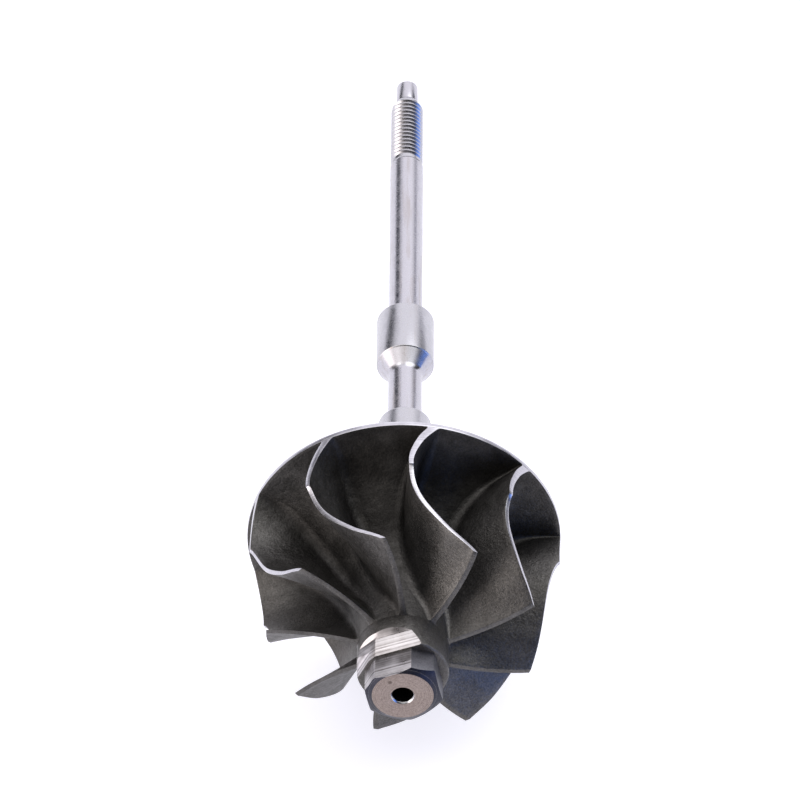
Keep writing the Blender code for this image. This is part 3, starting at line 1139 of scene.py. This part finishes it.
@dataclass(frozen=True)
class Shaft:
    """The turned shaft behind the wheel."""

    ground: bpy.types.Material
    turned: bpy.types.Material
    boss_skin: bpy.types.Material
    sides: int = 96
    boss_start: float = -5.6 * MM
    boss_radius: float = 4.7 * MM
    boss_end: float = -28.3 * MM
    boss_shoulder: float = 0.6 * MM
    neck_radius: float = 3.0 * MM
    flare_length: float = 3.4 * MM
    flare_bend: float = 2.0 * MM
    flare_slope: float = 35.0
    collar_radius: float = 5.13 * MM
    collar_start: float = -43.4 * MM
    collar_end: float = -54.8 * MM
    collar_corner: float = 0.18 * MM
    journal_radius: float = 3.0 * MM
    thread_start: float = -96.6 * MM
    thread_end: float = -112.0 * MM
    pitch: float = 1.0 * MM
    thread_depth: float = 0.5 * MM
    stub_cone_end: float = -114.2 * MM
    stub_radius: float = 1.93 * MM
    stub_end: float = -118.8 * MM
    stub_corner: float = 0.3 * MM

    def boss(self) -> bpy.types.Object:
        """The thick stretch behind the disc, rounded down to the neck."""
        outline = [(self.boss_radius, self.boss_start + 0.1 * MM)]
        steps = 10
        drop = self.boss_radius - self.neck_radius
        for step in range(steps + 1):
            turn = step / steps * math.pi / 2.0
            outline.append((
                self.neck_radius + drop * math.cos(turn) ** 0.9,
                self.boss_end + self.boss_shoulder * (1.0 - math.sin(turn)),
            ))
        piece = Bench.turned("weld_shoulder", outline, self.sides)
        piece.data.materials.append(self.boss_skin)
        return piece

    def neck(self) -> bpy.types.Object:
        """The slim stretch up to the collar, with its round fillet."""
        outline = [(self.neck_radius, self.boss_end + 0.1 * MM)]
        steps = 8
        start = self.collar_start + self.flare_length
        for step in range(steps + 1):
            turn = step / steps * math.radians(self.flare_slope)
            outline.append((
                self.neck_radius + self.flare_bend * (1.0 - math.cos(turn)),
                start - self.flare_bend * math.sin(turn),
            ))
        rest = outline[-1][1] - self.collar_start
        flare = outline[-1][0] + rest * math.tan(math.radians(self.flare_slope))
        outline += [(flare, self.collar_start), (flare, self.collar_start - 0.05 * MM)]
        piece = Bench.turned("slim_neck", outline, self.sides)
        piece.data.materials.append(self.ground)
        return piece

    def collar(self) -> bpy.types.Object:
        """The thick collar, with its corners broken."""
        corner = self.collar_corner
        outline = [
            (self.neck_radius, self.collar_start),
            (self.collar_radius - corner, self.collar_start),
            (self.collar_radius, self.collar_start - corner),
            (self.collar_radius, self.collar_end + corner),
            (self.collar_radius - corner, self.collar_end),
            (self.journal_radius * 0.9, self.collar_end),
        ]
        piece = Bench.turned("thrust_collar", outline, self.sides)
        piece.data.materials.append(self.turned)
        Bench.bevel(piece, 0.05 * MM)
        return piece

    def journal(self) -> bpy.types.Object:
        """The long ground journal."""
        end = self.thread_start
        outline = [
            (self.journal_radius, self.collar_end + 0.05 * MM),
            (self.journal_radius, end + 0.25 * MM),
            (self.journal_radius - 0.12 * MM, end + 0.05 * MM),
            (self.journal_radius - 0.35 * MM, end),
        ]
        piece = Bench.turned("ground_journal", outline, self.sides)
        piece.data.materials.append(self.ground)
        return piece

    def thread(self) -> bpy.types.Object:
        """The nut's thread: a groove wound round as a helix, faded out at both ends."""
        root = self.journal_radius - self.thread_depth
        turns = round((self.thread_start - self.stub_cone_end) / self.pitch) + 3
        top = self.thread_start + 1.5 * self.pitch
        profile = [
            (self.journal_radius, 0.0), (self.journal_radius, -0.1), (root, -0.46),
            (root, -0.54), (self.journal_radius, -0.9), (self.journal_radius, -1.0),
        ]
        mesh = bpy.data.meshes.new("nut_thread")
        mesh.from_pydata(
            [(radius, 0.0, top + share * self.pitch) for radius, share in profile],
            [(index, index + 1) for index in range(len(profile) - 1)], [],
        )
        piece = bpy.data.objects.new("nut_thread", mesh)
        bpy.context.scene.collection.objects.link(piece)
        Bench.apply(
            piece, "SCREW", axis="Z", screw_offset=-self.pitch, iterations=turns,
            steps=self.sides // 2, render_steps=self.sides // 2, use_merge_vertices=True,
            merge_threshold=MM / 1000.0,
        )
        for point in piece.data.vertices:
            radius = math.hypot(point.co.x, point.co.y)
            fade = min(max((self.thread_start - 0.2 * MM - point.co.z) / self.pitch, 0.0), 1.0)
            wanted = self.journal_radius - 0.1 * MM - (self.journal_radius - radius) * fade
            past = (self.thread_end - point.co.z) / (self.thread_end - self.stub_cone_end)
            cone = self.journal_radius + (self.stub_radius - self.journal_radius) * max(past, 0.0)
            wanted = min(wanted, cone)
            point.co.x *= wanted / radius
            point.co.y *= wanted / radius
        for place, direction in ((self.thread_start, 1.0), (self.stub_cone_end, -1.0)):
            with Bench.editing(piece):
                bpy.ops.mesh.bisect(
                    plane_co=(0.0, 0.0, place), plane_no=(0.0, 0.0, direction),
                    use_fill=True, clear_outer=True,
                )
        with Bench.editing(piece):
            bpy.ops.mesh.normals_make_consistent(inside=False)
        piece.data.materials.append(self.turned)
        return piece

    def stub(self) -> bpy.types.Object:
        """The plain end of the shaft."""
        outline = [
            (self.stub_radius, self.stub_cone_end + 0.1 * MM),
            (self.stub_radius, self.stub_end + self.stub_corner),
            (self.stub_radius - self.stub_corner, self.stub_end),
        ]
        piece = Bench.turned("plain_tip", outline, self.sides)
        piece.data.materials.append(self.ground)
        Bench.bevel(piece, 0.06 * MM)
        return piece

    def build(self, axis: RotorAxis) -> None:
        """Make the shaft's pieces.

        Args:
            axis: Where the rotor lies.
        """
        Bench.finish_piece(self.boss(), axis, Slot.GROUND, ["weld_boss"])
        Bench.finish_piece(self.neck(), axis, Slot.GROUND, ["neck"])
        Bench.finish_piece(self.collar(), axis, Slot.TURNED, ["collar"])
        Bench.finish_piece(self.journal(), axis, Slot.GROUND, ["journal"])
        Bench.finish_piece(self.thread(), axis, Slot.TURNED, ["thread"])
        Bench.finish_piece(self.stub(), axis, Slot.GROUND, ["stub_tip"])


class Laying(Enum):
    """How a patch of the surroundings is laid on those before it."""

    ADDED = "ADD"
    OVER = "MIX"


@dataclass(frozen=True)
class SkyPatch:
    """A round patch of the studio's surroundings, soft at its edge."""

    direction: tuple[float, float, float]
    outer: float
    inner: float
    colour: Colour
    laying: Laying = Laying.ADDED

    def share(self, tree: bpy.types.NodeTree, way: bpy.types.NodeSocket
              ) -> bpy.types.NodeSocket:
        """How much of the patch shows in a direction.

        Args:
            tree: The world's nodes.
            way: The direction looked along.

        Returns:
            0 outside the patch, 1 in its middle.
        """
        dot = tree.nodes.new("ShaderNodeVectorMath")
        dot.operation = "DOT_PRODUCT"
        tree.links.new(way, dot.inputs[0])
        dot.inputs[1].default_value = Vector(self.direction).normalized()
        edge = tree.nodes.new("ShaderNodeMapRange")
        edge.interpolation_type = "SMOOTHSTEP"
        tree.links.new(dot.outputs["Value"], edge.inputs[0])
        edge.inputs[1].default_value = math.cos(math.radians(self.outer))
        edge.inputs[2].default_value = math.cos(math.radians(self.inner))
        return edge.outputs[0]


@dataclass(frozen=True)
class Studio:
    """The pale floor, the soft light all round and the camera."""

    sky_colour: Colour = (0.05, 0.05, 0.055)
    patches: tuple[SkyPatch, ...] = (
        SkyPatch((0.0, 0.86, 0.40), 52.0, 20.0, (1.35, 1.33, 1.40)),
        SkyPatch((0.46, 0.26, 0.85), 36.0, 0.0, (2.5, 2.55, 2.55)),
        SkyPatch((-0.20, -0.10, 0.97), 34.0, 0.0, (1.2, 1.15, 1.1)),
        SkyPatch((-0.86, -0.50, 0.14), 38.0, 4.0, (3.6, 3.35, 3.2)),
        SkyPatch((-0.80, -0.20, 0.56), 34.0, 0.0, (0.9, 0.85, 0.82)),
        SkyPatch((0.86, -0.50, 0.05), 34.0, 0.0, (0.35, 0.75, 2.10)),
        SkyPatch((-0.58, 0.22, 0.80), 15.0, 7.0, (1.9, 1.88, 1.88)),
        SkyPatch((-0.60, 0.79, 0.12), 20.0, 9.0, (0.06, 0.065, 0.085), Laying.OVER),
        SkyPatch((-0.36, 0.83, 0.42), 4.5, 1.5, (0.20, 0.20, 0.27), Laying.OVER),
        SkyPatch((0.66, 0.75, 0.02), 13.0, 5.0, (0.50, 0.50, 0.58), Laying.OVER),
    )
    floor_size: float = 6.0
    floor_colour: Colour = (0.45, 0.45, 0.46)
    floor_glow: Colour = (0.74, 0.735, 0.80)
    camera_elevation: float = 43.36
    camera_roll: float = 0.47
    camera_distance: float = 9000.0
    picture: tuple[float, float] = (800.0, 797.0)
    wheel_middle: tuple[float, float] = (403.9, 535.0)
    unit: float = 27.5 * MM / 156.5

    def floor(self) -> None:
        """Lay the floor, a pale table lit from below."""
        bpy.ops.object.select_all(action="DESELECT")
        bpy.ops.mesh.primitive_plane_add(size=self.floor_size)
        floor = Bench.named("floor")
        material = bpy.data.materials.new("floor")
        material.use_nodes = True
        shader = material.node_tree.nodes["Principled BSDF"]
        shader.inputs["Base Color"].default_value = (*self.floor_colour, 1.0)
        shader.inputs["Emission Color"].default_value = (*self.floor_glow, 1.0)
        shader.inputs["Emission Strength"].default_value = 1.0
        shader.inputs["Roughness"].default_value = 0.7
        floor.data.materials.append(material)

    def sky(self) -> None:
        """Paint the soft boxes, walls and dark gaps that the metal mirrors."""
        world = bpy.data.worlds.new("studio")
        bpy.context.scene.world = world
        world.use_nodes = True
        tree = world.node_tree
        texture = tree.nodes.new("ShaderNodeTexCoord")
        colour: object = (*self.sky_colour, 1.0)
        for patch in self.patches:
            mix = tree.nodes.new("ShaderNodeMix")
            mix.data_type = "RGBA"
            mix.blend_type = patch.laying.value
            tree.links.new(patch.share(tree, texture.outputs["Generated"]), mix.inputs[0])
            if isinstance(colour, tuple):
                mix.inputs[6].default_value = colour
            else:
                tree.links.new(colour, mix.inputs[6])
            mix.inputs[7].default_value = (*patch.colour, 1.0)
            colour = mix.outputs[2]
        tree.links.new(colour, tree.nodes["Background"].inputs["Color"])

    def lamp(
        self, name: str, direction: Vector, distance: float, size: float, power: float,
        colour: Colour,
    ) -> None:
        """Hang a soft lamp that points at the rotor.

        Args:
            name: Its name.
            direction: The way from the rotor to it.
            distance: Its distance.
            size: Its width.
            power: Its power in watts.
            colour: Its colour.
        """
        light = bpy.data.lights.new(name, "AREA")
        light.size = size
        light.energy = power
        light.color = colour
        lamp = bpy.data.objects.new(name, light)
        bpy.context.scene.collection.objects.link(lamp)
        lamp.location = direction.normalized() * distance
        lamp.rotation_euler = direction.to_track_quat("Z", "Y").to_euler()

    def camera(self, axis: RotorAxis) -> None:
        """Place the camera at the photo's viewpoint.

        Args:
            axis: Where the rotor lies.
        """
        tilt, roll = math.radians(self.camera_elevation), math.radians(self.camera_roll)
        back = math.cos(tilt) * axis.nose + math.sin(tilt) * axis.up
        up = -math.sin(tilt) * axis.nose + math.cos(tilt) * axis.up
        right = axis.side
        right, up = (
            math.cos(roll) * right + math.sin(roll) * up,
            -math.sin(roll) * right + math.cos(roll) * up,
        )
        across = self.wheel_middle[0] - self.picture[0] / 2.0
        rise = self.picture[1] / 2.0 - self.wheel_middle[1]
        offset = across * right + rise * up - self.camera_distance * back
        data = bpy.data.cameras.new("photo_view")
        data.lens = self.camera_distance / self.picture[0] * data.sensor_width
        data.clip_end = 100.0
        camera = bpy.data.objects.new("photo_view", data)
        bpy.context.scene.collection.objects.link(camera)
        turn = Matrix((right, up, back)).transposed().to_4x4()
        camera.matrix_world = Matrix.Translation(axis.origin - offset * self.unit) @ turn
        bpy.context.scene.camera = camera

    def build(self, axis: RotorAxis) -> None:
        """Set up the studio.

        Args:
            axis: Where the rotor lies.
        """
        self.floor()
        self.sky()
        self.lamp("key", Vector((-0.58, 0.22, 0.80)), 0.9, 0.8, 1.0, (1.0, 0.99, 0.98))
        self.camera(axis)
        bpy.context.scene.view_settings.view_transform = "Standard"


def main() -> None:
    """Build the studio, the finishes and the rotor's pieces."""
    logging.basicConfig(level=logging.INFO, format="%(message)s")
    axis = RotorAxis.from_record(frame["record"], 118.8 * MM)
    Studio().build(axis)
    cast = CastAlloy().build(axis)
    hexagon_skin = CastAlloy(
        "hexagon_skin", (0.090, 0.090, 0.102), (0.19, 0.187, 0.210), 0.9, (0.34, 0.46), 3.6,
        0.02 * MM,
    ).build(axis)
    # painted shade: a darker copy of the hexagon's skin for the chamfers round the nose's end
    shaded_chamfer_skin = CastAlloy(
        "shaded_chamfer_skin", (0.022, 0.023, 0.032), (0.060, 0.060, 0.078), 0.9, (0.36, 0.48), 3.6,
        0.02 * MM,
    ).build(axis)
    machined = CutMetal(
        "machined_edge", (0.34, 0.33, 0.36), (0.62, 0.61, 0.66), (0.26, 0.38)
    ).build(axis)
    ground = CutMetal(
        "balance_cut", (0.17, 0.155, 0.155), (0.55, 0.53, 0.55), (0.26, 0.40), 2.4, 0.02 * MM
    ).build(axis)
    end_face = TintedEnd().build(axis)
    # painted shade: the drilled centre's walls are made nearly black where shade falls in the hole
    painted_bore_shade = CutMetal("drilled_bore_painted_shade", (0.02, 0.02, 0.02), (0.06, 0.06, 0.06), (0.3, 0.4)).build(axis)
    lip = CutMetal("drilled_lip", (0.30, 0.30, 0.33), (0.62, 0.62, 0.64), (0.2, 0.3)).build(axis)
    shaft_ground = ShaftSteel("ground_steel").build(axis)
    shaft_turned = ShaftSteel(
        "turned_steel", (0.47, 0.465, 0.495), (0.36, 0.31, 0.27), 0.2, (0.22, 0.34), 5.0,
        0.006 * MM,
    ).build(axis)
    form = WheelForm()
    Wheel(form, cast, machined).build(axis)
    Vanes(form, cast, machined).build(axis)
    Nose(form, cast, hexagon_skin, shaded_chamfer_skin, ground, end_face, painted_bore_shade, lip).build(axis)
    Shaft(shaft_ground, shaft_turned, shaft_turned).build(axis)


if __name__ == "__main__":
    main()
